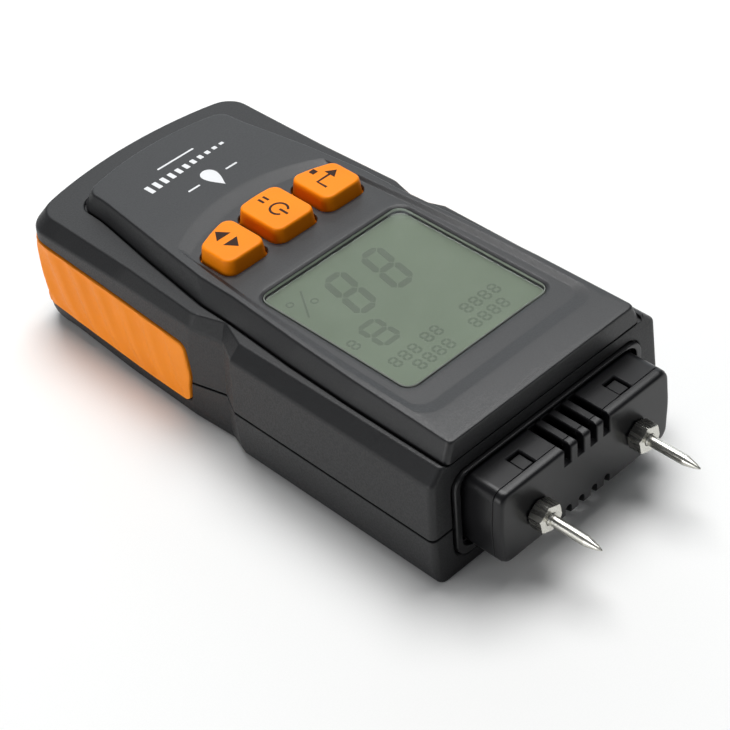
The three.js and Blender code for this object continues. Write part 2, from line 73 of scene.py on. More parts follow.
def make_studio():
    scene.view_settings.view_transform = "Standard"
    world = bpy.data.worlds.new("studio")
    world.use_nodes = True
    sky = world.node_tree.nodes["Background"].inputs
    sky["Color"].default_value = (0.93, 0.96, 1, 1)
    sky["Strength"].default_value = 0.13
    scene.world = world
    softbox("overhead", (-0.3, -0.3, 1.15), (0.8, 0.8), 16)
    softbox("back", (-0.9, -0.9, 0.5), (1.6, 0.8), 5, (0.9, 0.96, 1))
    softbox("side", (1.2, -0.12, 0.26), (0.7, 0.5), 4.8)
    floor = bpy.data.meshes.new("floor")
    floor.from_pydata([(-3, -3, 0), (3, -3, 0), (3, 3, 0), (-3, 3, 0)], [], [(0, 1, 2, 3)])
    matte_surface = bpy.data.objects.new("floor", floor)
    matte_surface.location.z = -0.0003     # just clear of the part
    scene.collection.objects.link(matte_surface)
    paper = Recipe("floor_paper", (0.93, 0.93, 0.92), 0.9)
    paper.mottle(3, 0.01)
    floor.materials.append(paper.done())


# ---- materials
class Recipe:
    """A Principled material whose tone, roughness and relief come from noise in object space."""

    def __init__(self, name, color, roughness, metallic=0.0):
        self.material = bpy.data.materials.new(name)
        self.material.use_nodes = True
        self.tree = self.material.node_tree
        self.shader = self.tree.nodes["Principled BSDF"]
        self.shader.inputs["Metallic"].default_value = metallic
        self.shader.inputs["Roughness"].default_value = roughness
        self.shader.inputs["Base Color"].default_value = (*color, 1)
        self.place = self.tree.nodes.new("ShaderNodeTexCoord").outputs["Object"]
        self.color = (*color, 1)
        self.roughness = roughness
        self.normal = None

    def node(self, kind, settings=(), **inputs):
        made = self.tree.nodes.new("ShaderNode" + kind)
        for key, value in dict(settings).items():
            setattr(made, key, value)
        for key, value in inputs.items():
            socket = made.inputs[int(key[1:])] if key[1:].isdigit() else made.inputs[key.replace("_", " ")]
            self.feed(socket, value)
        return made

    def feed(self, socket, value):
        if isinstance(value, bpy.types.NodeSocket):
            self.tree.links.new(value, socket)
        else:
            socket.default_value = value

    def noise(self, per_mm, stretch=(1, 1, 1)):
        spread = self.node("Mapping", Vector=self.place, Scale=stretch).outputs[0]
        return self.node("TexNoise", Vector=spread, Scale=per_mm / MM, Detail=3.0).outputs["Fac"]

    def blend(self, share, a, b):
        return self.node("Mix", {"data_type": "RGBA"}, _0=share, _6=a, _7=b).outputs[2]

    def ramp(self, value, low, high, to_low=0.0, to_high=1.0):
        return self.node("MapRange", {"interpolation_type": "SMOOTHSTEP"}, Value=value, _1=low, _2=high,
                         _3=to_low, _4=to_high).outputs[0]

    def mottle(self, per_mm, amount):
        """Slow variation of tone."""
        dark = tuple(c * (1 - amount) for c in self.color[:3]) + (1,)
        light = tuple(min(1, c * (1 + amount)) for c in self.color[:3]) + (1,)
        self.color_socket = self.blend(self.ramp(self.noise(per_mm), 0.3, 0.7), dark, light)
        return self

    def edge_highlight(self, radius, lift=1.35):
        """Softened edge normals, and a painted highlight: the edges are coloured a little lighter than the faces."""
        soft = self.node("Bevel", {"samples": 4}, Radius=radius * MM).outputs[0]
        true = self.node("NewGeometry").outputs["Normal"]
        turn = self.node("VectorMath", {"operation": "DOT_PRODUCT"}, _0=soft, _1=true).outputs["Value"]
        edge = self.ramp(turn, 0.995, 0.8, 0.0, 0.5)
        light = tuple(min(1, c * lift + 0.01) for c in self.color[:3]) + (1,)
        self.color_socket = self.blend(edge, self.color_socket, light)
        self.normal = soft
        return self

    def grain(self, per_mm, depth, polish=0.06, stretch=(1, 1, 1)):
        """Moulded texture: relief and a matching change of gloss."""
        fine = self.noise(per_mm, stretch)
        inputs = {"Normal": self.normal} if self.normal else {}
        self.normal = self.node("Bump", Strength=1.0, Distance=depth * MM, Height=fine, **inputs).outputs[0]
        low, high = self.roughness - polish, self.roughness + polish
        self.feed(self.shader.inputs["Roughness"], self.ramp(fine, 0.35, 0.65, low, high))
        return self

    def band(self, axis, low, high, color):
        """Another colour between two places along an axis, in millimetres."""
        soft = 0.05
        along = self.node("SeparateXYZ", Vector=self.place).outputs[axis]
        enter = self.ramp(along, (low - soft) * MM, (low + soft) * MM)
        leave = self.ramp(along, (high + soft) * MM, (high - soft) * MM)
        share = self.node("Math", {"operation": "MULTIPLY"}, _0=enter, _1=leave).outputs[0]
        self.color_socket = self.blend(share, self.color_socket, (*color, 1))
        return self

    def done(self, **sockets):
        self.feed(self.shader.inputs["Base Color"], self.color_socket)
        if self.normal:
            self.feed(self.shader.inputs["Normal"], self.normal)
        for key, value in sockets.items():
            self.shader.inputs[key.replace("_", " ")].default_value = value
        return self.material


def moulded(name, color, roughness, per_mm=2.2, depth=0.02, mottle=0.05, edge_highlight_radius=0.25, lift=1.35, polish=0.06,
            **sockets):
    """A moulded plastic or rubber, or an ink."""
    recipe = Recipe(name, color, roughness).mottle(0.05, mottle)
    # the edges get a painted highlight: coloured lift times lighter than the faces
    return recipe.edge_highlight(edge_highlight_radius, lift).grain(per_mm, depth, polish).done(**sockets)


def metal(name, color, roughness, stretch=(1, 1, 1), depth=0.004):
    recipe = Recipe(name, color, roughness, 1.0).mottle(0.15, 0.06)
    # the edges get a painted highlight: coloured a little lighter than the faces
    return recipe.edge_highlight(0.12, 1.15).grain(1.2, depth, 0.05, stretch).done()


def clear_pane():
    """Clear moulded glass that lamps shine straight through. Its steep sides and chamfer carry a painted reflection of
    the display.
    """
    recipe = Recipe("window_clear", (0.96, 1.0, 0.97), 0.03)
    tree = recipe.tree
    tree.nodes.remove(recipe.shader)
    haze = recipe.ramp(recipe.noise(0.3), 0.3, 0.7, 0.01, 0.04)
    glass = recipe.node("BsdfGlass", Color=(0.985, 0.99, 0.985, 1), Roughness=haze, IOR=1.45).outputs[0]
    upright = recipe.node("SeparateXYZ", Vector=recipe.node("NewGeometry").outputs["True Normal"]).outputs["Z"]
    flatness = recipe.node("Math", {"operation": "ABSOLUTE"}, _0=upright).outputs[0]
    # painted reflection: the pane's steep faces are partly a grey-green diffuse that stands in for the display seen in
    # them
    rim = recipe.ramp(flatness, 0.95, 0.8, 0.0, 0.55)
    matte_surface = recipe.node("BsdfDiffuse", Color=(0.5, 0.53, 0.48, 1)).outputs[0]
    glass = recipe.node("MixShader", _0=rim, _1=glass, _2=matte_surface).outputs[0]
    through = recipe.node("BsdfTransparent", Color=(0.93, 0.97, 0.93, 1)).outputs[0]
    path = recipe.node("LightPath").outputs
    lit = recipe.node("Math", {"operation": "MAXIMUM"}, _0=path["Is Shadow Ray"], _1=path["Is Diffuse Ray"])
    both = recipe.node("MixShader", _0=lit.outputs[0], _1=glass, _2=through).outputs[0]
    tree.links.new(both, tree.nodes["Material Output"].inputs["Surface"])
    return recipe.material


# ---- outlines
def rounded(corners):
    """Rounds the corners of a closed outline. Each is (x, y) and perhaps a radius and steps."""
    outline = []
    for i, corner in enumerate(corners):
        here = Vector(corner[:2])
        radius = corner[2] if len(corner) > 2 else 0
        if not radius:
            outline.append(tuple(here))
            continue
        back = (Vector(corners[i - 1][:2]) - here).normalized()
        ahead = (Vector(corners[(i + 1) % len(corners)][:2]) - here).normalized()
        half = back.angle(ahead) / 2
        middle = here + (back + ahead).normalized() * (radius / math.sin(half))
        start = here + back * (radius / math.tan(half)) - middle
        sweep = -math.copysign(math.pi - 2 * half, back.x * ahead.y - back.y * ahead.x)
        count = corner[3] if len(corner) > 3 else 7
        for k in range(count + 1):
            c, s = math.cos(sweep * k / count), math.sin(sweep * k / count)
            outline.append((middle.x + start.x * c - start.y * s, middle.y + start.x * s + start.y * c))
    return outline


def rectangle(u0, u1, v0, v1, radius=0.0, steps=7):
    return rounded([(u, v, radius, steps) for u, v in ((u0, v0), (u1, v0), (u1, v1), (u0, v1))])


def rect(u0, u1, v0, v1, radius=0.0, steps=7):
    """A rectangle that can grow: rect(...)(0.3) is 0.3 mm larger all round."""
    def grown(by):
        corner = max(0.02, radius + by) if radius else 0
        return rectangle(u0 - by, u1 + by, v0 - by, v1 + by, corner, steps)
    return grown


def circle(x, y, radius, sides=48):
    return [(x + radius * math.cos(a), y + radius * math.sin(a))
            for a in (2 * math.pi * i / sides for i in range(sides))]


def disc(x, y, radius):
    return lambda by: circle(x, y, radius + by)


def offset(outline, by):
    """Moves a closed anticlockwise outline outwards."""
    points = np.array(outline, float)
    before, after = np.roll(points, 1, 0), np.roll(points, -1, 0)
    def normal(a, b):
        d = b - a
        n = np.stack([d[:, 1], -d[:, 0]], 1)
        return n / np.maximum(np.linalg.norm(n, axis=1, keepdims=True), 1e-9)
    n = normal(before, points) + normal(points, after)
    n /= np.maximum(np.linalg.norm(n, axis=1, keepdims=True), 1e-9)
    cosine = np.clip((n * normal(points, after)).sum(1), 0.4, 1)
    return [tuple(p) for p in points + n * (by / cosine)[:, None]]


def anticlockwise(shape):
    """The outline, run anticlockwise."""
    area = sum(a[0] * b[1] - b[0] * a[1] for a, b in zip(shape, shape[1:] + shape[:1]))
    return shape if area > 0 else shape[::-1]


def resample(outline, step):
    """Adds points so that no side is longer than step."""
    out = []
    for i in range(len(outline)):
        a, b = Vector(outline[i]), Vector(outline[(i + 1) % len(outline)])
        count = max(1, math.ceil((b - a).length / step))
        out += [tuple(a.lerp(b, k / count)) for k in range(count)]
    return out


def plan_ring(plan, inset=0.0, z=None):
    """The body's plan at one level, with its corners rounded, at the level's height or at z."""
    back, front, bow, radius, sides = (plan[k] for k in ("back", "front", "bow", "radius", "sides"))
    corner_x = sides[0][1] - inset
    arc_end = corner_x - 1.35 * radius
    def on_arc(x):
        return back + inset + (x * x - (arc_end / 3) ** 2 / 2) / (2 * bow)
    nose = sides[-1][1] - inset
    right = [(x, on_arc(x)) for x in np.linspace(arc_end / 12, arc_end, 7)]
    right.append((corner_x, on_arc(corner_x), radius, 10))
    for (y, x), bend in zip(sides[:-1], plan.get("bends", SIDE_BENDS)):
        right.append((x - inset, y, bend, 4))
    right.append((nose, front - inset, 1.4, 5))
    left = [(-p[0], *p[1:]) for p in reversed(right)]
    height = plan["z"] if z is None else z
    return [(x, y, height(y) if callable(height) else height) for x, y in rounded([*right, *left])]


PARTING = {"nose": 12.3, "tail": 10.0, "from": -22.0, "to": -10.4}
SHOULDER_Z, FACE_Z, GAP = 29.6, 34.3, 0.3
# radius of the curved tail edge, and radii at the corners along the sides
TAIL_BOW, SIDE_BENDS = 105, (40, 80, 6, 0.8, 0.8)
PLATE = {"bow": 70, "bends": (40, 60, 20, 12, 30, 60)}
WALL, FLOOR_TOP = 2.2, 2.4


def parting_height(y):
    share = min(1, max(0, (y - PARTING["from"]) / (PARTING["to"] - PARTING["from"])))
    return PARTING["tail"] + (PARTING["nose"] - PARTING["tail"]) * share


def level(z, back, front, radius, sides, bow=TAIL_BOW, **more):
    return {"z": z, "back": back, "front": front, "radius": radius, "sides": sides, "bow": bow, **more}


FLOOR = level(0, -78.4, 53.4, 5.5, [(-66, 29.9), (-45, 31.2), (-22, 31.8), (-10.4, 31.2), (-5, 33.0), (53, 33.0)])
HEM = level(2.6, -79.5, 53.3, 6.2, [(-66, 31.4), (-45, 32.0), (-22, 32.4), (-10.4, 31.7), (-5, 33.9), (53, 33.9)])
JOINT = level(parting_height, -80, 53.2, 6.6,
              [(-66, 32.4), (-45, 32.5), (-22, 32.7), (-10.4, 31.8), (-5, 34.5), (53, 34.6)])
EAVE = level(26.4, -79.8, 52.8, 6.6,
             [(-66, 32.2), (-45, 31.9), (-19.8, 32.2), (-10.6, 30.8), (-5.3, 33.7), (53, 33.8)])
SHOULDER = level(SHOULDER_Z, -77.6, 52.6, 6,
                 [(-66, 29.4), (-43, 29.7), (-19.6, 30.7), (-12.3, 28.1), (-4.9, 30.85), (53, 30.55)])
SKIRT = level(30.0, -70.9, 52.5, 4.4,
              [(-60, 22.0), (-41, 24.7), (-20.5, 27.2), (-11.5, 27.3), (8, 28.4), (26, 28.9), (53, 29.0)],
              **PLATE)
GROOVE = level(29.4, -71.3, 53.0, 4.6,
               [(-60, 22.5), (-41, 25.3), (-20.5, 27.9), (-11.5, 27.95), (8, 29.1), (26, 29.55), (53, 29.7)],
               **PLATE)
PLATE_TOP = level(FACE_Z, -69.2, 52.3, 3.6,
                  [(-61, 20.4), (-41, 23.0), (-23.5, 24.8), (-13, 24.8), (8, 26.1), (26, 26.9), (53, 27.4)],
                  **PLATE)


# ---- meshes
class Builder:
    """Collects vertices and faces of one closed mesh."""

    def __init__(self):
        self.verts, self.faces = [], []

    def ring(self, points):
        start = len(self.verts)
        self.verts += [tuple(p) for p in points]
        return list(range(start, len(self.verts)))

    def bridge(self, *rings):
        for low, high in zip(rings, rings[1:]):
            count = len(low)
            self.faces += [(low[i], low[(i + 1) % count], high[(i + 1) % count], high[i]) for i in range(count)]

    def fill(self, loops, place=None, points=(), lines=(), flat=None):
        """Fills the first loop, less the others, with triangles through extra points and lines."""
        flats = flat or {i: self.verts[i][:2] for ids in loops for i in ids}
        coords, index, borders, inner = [], [], [], []
        for ids in loops:
            start, count = len(coords), len(ids)
            coords += [flats[i] for i in ids]
            index += ids
            borders += [(start + i, start + (i + 1) % count) for i in range(count)]
        for line in lines:
            start, count = len(coords), len(line)
            coords += line
            index += self.ring([place(*p) for p in line])
            inner += [(start + i, start + (i + 1) % count) for i in range(count)]
        coords += list(points)
        index += self.ring([place(*p) for p in points])
        self.faces += [tuple(index[i] for i in t) for t in triangles_between(coords, borders, inner)]

    def build(self, name):
        return mesh_object(name, self.verts, self.faces)


def triangles_between(coords, borders, inner):
    """Triangles that an odd number of borders separates from the outside."""
    _, _, faces, origin, _, _ = delaunay_2d_cdt([Vector(c) for c in coords], borders + inner, [], 0, 1e-9)
    if not all(origin):
        raise RuntimeError("outlines cross in a triangulation")
    triangles = [[origin[i][0] for i in face] for face in faces]
    border = {frozenset(edge) for edge in borders}
    beside = {}
    for number, t in enumerate(triangles):
        for k in range(3):
            beside.setdefault(frozenset((t[k], t[k - 1])), []).append(number)
    inside = {}
    queue = [(sharing[0], edge in border) for edge, sharing in beside.items() if len(sharing) == 1]
    while queue:
        number, state = queue.pop()
        if number in inside:
            continue
        inside[number] = state
        t = triangles[number]
        for k in range(3):
            edge = frozenset((t[k], t[k - 1]))
            queue += [(other, state != (edge in border)) for other in beside[edge] if other not in inside]
    return [t for number, t in enumerate(triangles) if inside[number]]


def within(points, loop):
    """Which of the points lie inside a closed loop."""
    x, y = points[:, 0:1], points[:, 1:2]
    ax, ay = loop[:, 0], loop[:, 1]
    bx, by = np.roll(ax, -1), np.roll(ay, -1)
    crosses = (ay > y) != (by > y)
    at = ax + (y - ay) * (bx - ax) / np.where(by == ay, 1e-12, by - ay)
    return (crosses & (x < at)).sum(1) % 2 == 1


def scatter(loops, step, margin):
    """Grid points inside the first loop and outside the others, clear of them all."""
    outer = np.array(loops[0], float)
    low, high = outer.min(0), outer.max(0)
    u, v = (np.arange(low[i] + step / 2, high[i], step) for i in (0, 1))
    points = np.stack(np.meshgrid(u, v), -1).reshape(-1, 2)
    keep = within(points, outer)
    for hole in loops[1:]:
        keep &= ~within(points, np.array(hole, float))
    points = points[keep]
    near = np.array([p for loop in loops for p in resample(loop, step / 2)], float)
    distance = np.sqrt(((points[:, None] - near[None]) ** 2).sum(-1)).min(1)
    return [tuple(p) for p in points[distance > margin]]


def mesh_object(name, verts, faces):
    mesh = bpy.data.meshes.new(name)
    mesh.from_pydata([tuple(v) for v in verts], [], faces)
    work = bmesh.new()
    work.from_mesh(mesh)
    bmesh.ops.remove_doubles(work, verts=work.verts, dist=1e-4)
    loose = [v for v in work.verts if not v.link_faces]
    bmesh.ops.delete(work, geom=loose, context="VERTS")
    bmesh.ops.recalc_face_normals(work, faces=work.faces)
    work.to_mesh(mesh)
    work.free()
    made = bpy.data.objects.new(name, mesh)
    scene.collection.objects.link(made)
    return made


def skin(name, rings, closed=False):
    """A body through rings of equal length; closed joins the last ring to the first."""
    builder = Builder()
    ids = [builder.ring(r) for r in rings]
    builder.bridge(*ids)
    if closed:
        builder.bridge(ids[-1], ids[0])
    else:
        builder.faces += [tuple(reversed(ids[0])), tuple(ids[-1])]
    return builder.build(name)


def eased(rings, reach, steps=5):
    """Rounds the corner of the profile at some rings; reach is {ring number: length}."""
    out = []
    for k, ring in enumerate(rings):
        if k not in reach:
            out.append(ring)
            continue
        trio = [[Vector(p) for p in rings[j % len(rings)]] for j in (k - 1, k, k + 1)]
        for step in range(steps + 1):
            t = step / steps
            made = []
            for before, here, after in zip(*trio):
                a, b = before - here, after - here
                a = here + a.normalized() * min(reach[k], 0.48 * a.length)
                b = here + b.normalized() * min(reach[k], 0.48 * b.length)
                made.append(tuple(a.lerp(here, t).lerp(here.lerp(b, t), t)))
            out.append(made)
    return out


def along_z(shape, stations):
    """Rings of a growing outline at (z, growth) stations."""
    return [[(x, y, z) for x, y in shape(by)] for z, by in stations]


def along_y(shape, stations):
    return [[(x, y, z) for x, z in shape(by)] for y, by in stations]


def turned(profile, x, z, sides=48):
    """Rings of a lathed profile of (radius, y) about an axis along Y."""
    return [[(u, y, v) for u, v in circle(x, z, r, sides)] for r, y in profile]


def open_edges(made):
    work = bmesh.new()
    work.from_mesh(made.data)
    count = sum(not edge.is_manifold for edge in work.edges)
    work.free()
    return count


def combine(base, tools, operation="DIFFERENCE"):
    """Applies booleans one by one, and removes the tools."""
    for tool in tools:
        for part in (base, tool):
            if open_edges(part):
                raise RuntimeError(f"{part.name} isn't closed")
        modifier = base.modifiers.new("combine", "BOOLEAN")
        modifier.operation, modifier.solver, modifier.object = operation, "MANIFOLD", tool
        bpy.context.view_layer.update()
        graph = bpy.context.evaluated_depsgraph_get()
        made = bpy.data.meshes.new_from_object(base.evaluated_get(graph))
        base.modifiers.clear()
        if not made.polygons:
            raise RuntimeError(f"{base.name}: nothing left after {tool.name}")
        old, base.data = base.data, made
        bpy.data.meshes.remove(old)
        bpy.data.objects.remove(tool)
    return base


def cut(base, *tools):
    return combine(base, tools)


def join(base, *tools):
    return combine(base, tools, "UNION")


def mirrored(name, source):
    made = bpy.data.objects.new(name, source.data.copy())
    made.data.transform(Matrix.Scale(-1, 4, (1, 0, 0)))
    made.data.flip_normals()
    scene.collection.objects.link(made)
    return made


def coat(made, material):
    made.data.materials.clear()
    made.data.materials.append(material)


def piece(made, body, material, replaces=(), angle=32):
    """Scales to metres, shades, and puts a piece on its body."""
    made.data.transform(Matrix.Scale(MM, 4))
    made.data.name = made.name
    coat(made, material)
    made.data.polygons.foreach_set("use_smooth", [True] * len(made.data.polygons))
    made.data.set_sharp_from_angle(angle=math.radians(angle))
    modifier = made.modifiers.new("normals", "WEIGHTED_NORMAL")
    modifier.keep_sharp = True
    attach(made, body)
    if replaces:
        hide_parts(*replaces)


# ---- side surface of the body
JOINT_FLAT = [p[:2] for p in plan_ring(JOINT)]
HALF = [i for i, p in enumerate(JOINT_FLAT) if p[0] > 0]
RIGHT = [JOINT_FLAT[i] for i in HALF]
REACH = np.concatenate([[0], np.cumsum([math.dist(a, b) for a, b in zip(RIGHT, RIGHT[1:])])])
LEVEL_RINGS = [[plan_ring(lv)[i] for i in HALF] for lv in (HEM, JOINT, EAVE)]


def reach_at(y):
    """Length along the right side's outline, from the tail's middle, to a place on its long side."""
    straight = [(p[1], r) for p, r in zip(RIGHT, REACH) if p[0] > 31]
    return float(np.interp(y, [s[0] for s in straight], [s[1] for s in straight]))


def side_point(u, z):
    i = int(np.clip(np.searchsorted(REACH, u) - 1, 0, len(REACH) - 2))
    share = (u - REACH[i]) / (REACH[i + 1] - REACH[i])
    low, middle, high = (Vector(r[i]).lerp(Vector(r[i + 1]), share) for r in LEVEL_RINGS)
    a, b = (low, middle) if z < middle.z else (middle, high)
    return a + (b - a) * ((z - a.z) / (b.z - a.z))


def side_surface(u, z, lift):
    """A point of the right side, lift outside the body."""
    here = side_point(u, z)
    step = 0.4
    du = side_point(u + step, z) - side_point(u - step, z)
    dz = side_point(u, z + step) - side_point(u, z - step)
    return tuple(here + du.cross(dz).normalized() * lift)


GRIP_LEAN, GRIP_MIDDLE = math.tan(math.radians(20)), 12.5
FLUTE = {"count": 7, "pitch": 7.7, "first": -29.5, "half": 2.85, "depth": 0.6}
FLUTES = [reach_at(FLUTE["first"] - i * FLUTE["pitch"]) for i in range(FLUTE["count"])]


def flute_depth(u, z):
    along = u + GRIP_LEAN * (z - GRIP_MIDDLE)
    depth = 0.0
    for centre in FLUTES:
        share = abs(along - centre) / FLUTE["half"]
        if share < 1:
            depth = FLUTE["depth"] * (1 - share * share)
    return depth


def grip_outline():
    tail = 27.0
    corners = [(tail, 6.6, 1.6), (reach_at(-62), 5.2, 30, 3), (reach_at(-36), 4.0, 30, 3),
               (reach_at(-22.6), 4.0, 2.4), (reach_at(-21.4), 12, 6, 3), (reach_at(-23.6), 20.3, 2.4),
               (reach_at(-40), 21.2, 30, 3), (tail, 23.8, 1.6)]
    return resample(rounded(corners), 2.0)


def side_patch(name, stations, fluted):
    """A closed pad on the right side, through (growth of the outline, lift) from the bottom up."""
    outline = grip_outline()
    builder = Builder()
    rings, flats = [], []
    for k, (grow, lift) in enumerate(stations):
        flat = offset(outline, grow)
        share = max(0, (k - len(stations) + 3) / 2) if fluted else 0
        rings.append(builder.ring([side_surface(u, z, lift - share * flute_depth(u, z)) for u, z in flat]))
        flats.append(flat)
    builder.bridge(*rings)
    half = FLUTE["half"]
    columns = [c + o for c in FLUTES for o in (-half, -2.3, -1.2, 0, 1.2, 2.3, half, FLUTE["pitch"] / 2)]
    for end, ids, flat, lift in ((0, rings[0], flats[0], stations[0][1]), (1, rings[-1], flats[-1], stations[-1][1])):
        grid = [(c - GRIP_LEAN * (z - GRIP_MIDDLE), z) for z in np.arange(3, 25, 1.3) for c in columns]
        grid += [(u, z) for z in np.arange(3, 25, 2.0) for u in np.arange(24, 38, 1.5)]
        near = np.array(resample(flat, 0.5))
        grid = [p for p, ok in zip(grid, within(np.array(grid), np.array(flat))) if ok]
        grid = [p for p in grid if ((near - p) ** 2).sum(1).min() > 0.35 ** 2]
        flute = flute_depth if fluted and end else (lambda u, z: 0)
        builder.fill([ids], lambda u, z: side_surface(u, z, lift - flute(u, z)), grid, flat=dict(zip(ids, flat)))
    return builder.build(name)


POCKET = [(0.3, -1.0), (0.3, -0.3), (0.6, 0.02), (1.6, 3.0)]


def grip_pockets():
    right = side_patch("pocket_right", POCKET, False)
    return right, mirrored("pocket_left", right)


# ---- case
HEAD = {"x": 26.0, "bottom": 5.6, "top": 24.4}
SEAL = rect(-28.6, 28.6, 3.0, 25.9, 4.0)
HEAD_HOLE = rect(-26.3, 26.3, 5.3, 24.7, 2.6)
SCREWS = [(29, 42), (-29, 42), (27, -17.5), (-27, -17.5)]
DOORWAY_X, PAST_TAIL = 23.2, -84


def front_opening():
    hole = skin("head_hole", along_y(HEAD_HOLE, [(49.9, 0), (55, 0)]))
    recess = skin("seal_recess", along_y(SEAL, [(52.1, 0), (52.7, 0), (53.3, 0.55), (56, 3.0)]))
    return hole, recess


def inside(inset):
    """What lies inside the lower walls by some depth."""
    return skin("inside", [plan_ring(FLOOR, inset, -2), plan_ring(HEM, inset, 2.6), plan_ring(JOINT, inset, 12)])


def rear_case():
    lip = [(p[0], p[1], p[2] - 0.12) for p in plan_ring(JOINT)]
    top = plan_ring(JOINT, 0.12)
    case = skin("rear_case_shell", eased([plan_ring(FLOOR), plan_ring(HEM), lip, top], {0: 0.01, 1: 1.6}))
    hollow = skin("hollow", [plan_ring(HEM, WALL, FLOOR_TOP), plan_ring(JOINT, WALL, 14)])
    cut(case, hollow)
    walls = skin("bay_walls", along_z(rect(-23.8, 23.8, -77.4, -25.5), [(2.2, 0), (9.7, 0)]))
    join(case, walls)
    for x, y in SCREWS:
        join(case, skin("post", along_z(disc(x, y, 3.7), [(2, 0), (12, 0)])))
    bay = skin("bay", along_z(rect(-22.6, 22.6, -76.2, -26.7), [(FLOOR_TOP - 0.01, 0), (14, 0)]))
    doorway = skin("doorway", along_z(rect(-DOORWAY_X, DOORWAY_X, PAST_TAIL, -24.7),
                                      [(-3, 3), (0.0, 0.35), (0.35, 0), (FLOOR_TOP + 0.01, 0)]))
    rail = skin("rail", along_z(rect(-DOORWAY_X - 1, DOORWAY_X + 1, PAST_TAIL, -24.7), [(0.9, 0), (FLOOR_TOP, 0)]))
    tail = cut(skin("tailway", along_z(rect(-DOORWAY_X, DOORWAY_X, PAST_TAIL, -70), [(-1, 0), (7.6, 0)])), inside(1.5))
    cut(case, bay, doorway, rail, tail, *front_opening(), *grip_pockets())
    for x, y in SCREWS:
        cut(case, skin("hole", along_z(disc(x, y, 1.65), [(0, 0), (14, 0)])),
            skin("well", along_z(disc(x, y, 2.85), [(-1, 1.4), (0.0, 0.4), (0.4, 0), (4.7, 0)])))
    return case


def front_case():
    low = [(p[0], p[1], p[2] + 0.5) for p in plan_ring(JOINT, 0.12)]
    lip = [(p[0], p[1], p[2] + 0.62) for p in plan_ring(JOINT)]
    rings = [low, lip, plan_ring(EAVE), plan_ring(SHOULDER), plan_ring(SHOULDER, 3.0)]
    case = skin("front_case_shell", eased(rings, {2: 0.6, 3: 0.45}))
    hollow = skin("hollow", [plan_ring(JOINT, WALL, 8), plan_ring(EAVE, WALL, 25.6), plan_ring(SHOULDER, 1.4, 27.4)])
    seat = skin("seat", [plan_ring(GROOVE, 0, 28.7), plan_ring(GROOVE, 0, 29.42),
                         plan_ring(GROOVE, -0.2, 29.62), plan_ring(GROOVE, -2.6, 32)])
    lip_cut = skin("front_lip", along_z(rect(-29.3, 29.3, 51.5, 56), [(28.7, 0), (36, 0)]))
    display = skin("display_hole", along_z(rect(-23.9, 23.9, -12.5, 38.5), [(24, 0), (30, 0)]))
    keys = skin("key_hole", along_z(rect(-21.8, 21.8, -34.4, -16.6), [(24, 0), (30, 0)]))
    return cut(case, hollow, seat, lip_cut, display, keys, *front_opening(), *grip_pockets())


# ---- keys
KEY_SPANS = {"set": (8.6, 20.6), "power": (-6.2, 6.2), "enter": (-20.6, -8.6)}
KEY_FRONT, KEY_APEX, KEY_ARC, KEY_TOP = -18.4, -32.9, 48.7, 37.1    # the keys' tail edge is one arc
KEY_MIDDLE = -25.6


def arc_y(x, apex=KEY_APEX, radius=KEY_ARC):
    return apex + radius - math.sqrt(radius ** 2 - x ** 2)


def key_outline(span, inset):
    radius = max(0.5, 2.6 - inset * 0.8)
    a, b = span[0] + inset, span[1] - inset
    clear = min(4.2, 0.4 * (b - a))
    back = [(x, arc_y(x) + inset) for x in (a, *np.linspace(a + clear, b - clear, 3), b)]
    corners = [(*back[0], radius), *back[1:-1], (*back[-1], radius),
               (b, KEY_FRONT - inset, radius), (a, KEY_FRONT - inset, radius)]
    return rounded(corners)


def key_dome(span):
    middle = (span[0] + span[1]) / 2
    return lambda x, y: KEY_TOP - 0.1 * ((x - middle) / 5) ** 2 - 0.1 * ((y - KEY_MIDDLE) / 6) ** 2


def key_cap(name, span):
    dome = key_dome(span)
    builder = Builder()
    profile = [(31.2, -0.7), (32.1, -0.7), (32.1, 0.0), (35.6, 0.32), (36.95, 0.55), (KEY_TOP, 1.6)]
    rings = [[(x, y, z) for x, y in key_outline(span, inset)] for z, inset in profile]
    rings[-1] = [(x, y, dome(x, y)) for x, y, _ in rings[-1]]
    rings = eased(rings, {0: 0.01, 4: 0.6}, 6)
    ids = [builder.ring(r) for r in rings]
    builder.bridge(*ids)
    builder.faces.append(tuple(reversed(ids[0])))
    top = [p[:2] for p in rings[-1]]
    builder.fill([ids[-1]], lambda x, y: (x, y, dome(x, y)), scatter([top], 0.9, 0.5))
    return builder.build(name)


# ---- faceplate
WINDOW = rect(-21.2, 21.2, -9.2, 35.2, 2.8)
RECESS_DEPTH = 0.55
# y, and x at the top and the foot of the slope round the keys and the display
RECESS_SIDE = [(-36, 21.6, 21.0), (-26.8, 22.35, 21.6), (-19, 23.0, 21.9), (-12, 23.6, 22.4), (-5.4, 24.1, 22.8),
               (8, 24.9, 23.3), (20, 25.4, 23.7), (44, 25.6, 23.9)]
RECESS_FRONT, RECESS_CORNER = (44.4, 41.0), (5.0, 3.6)
RECESS_ARC = ((-40.6, 39.0), (-35.7, 47.0))     # apex and radius of the slope behind the keys


def smooth(t):
    t = min(1.0, max(0.0, t))
    return t * t * (3 - 2 * t)


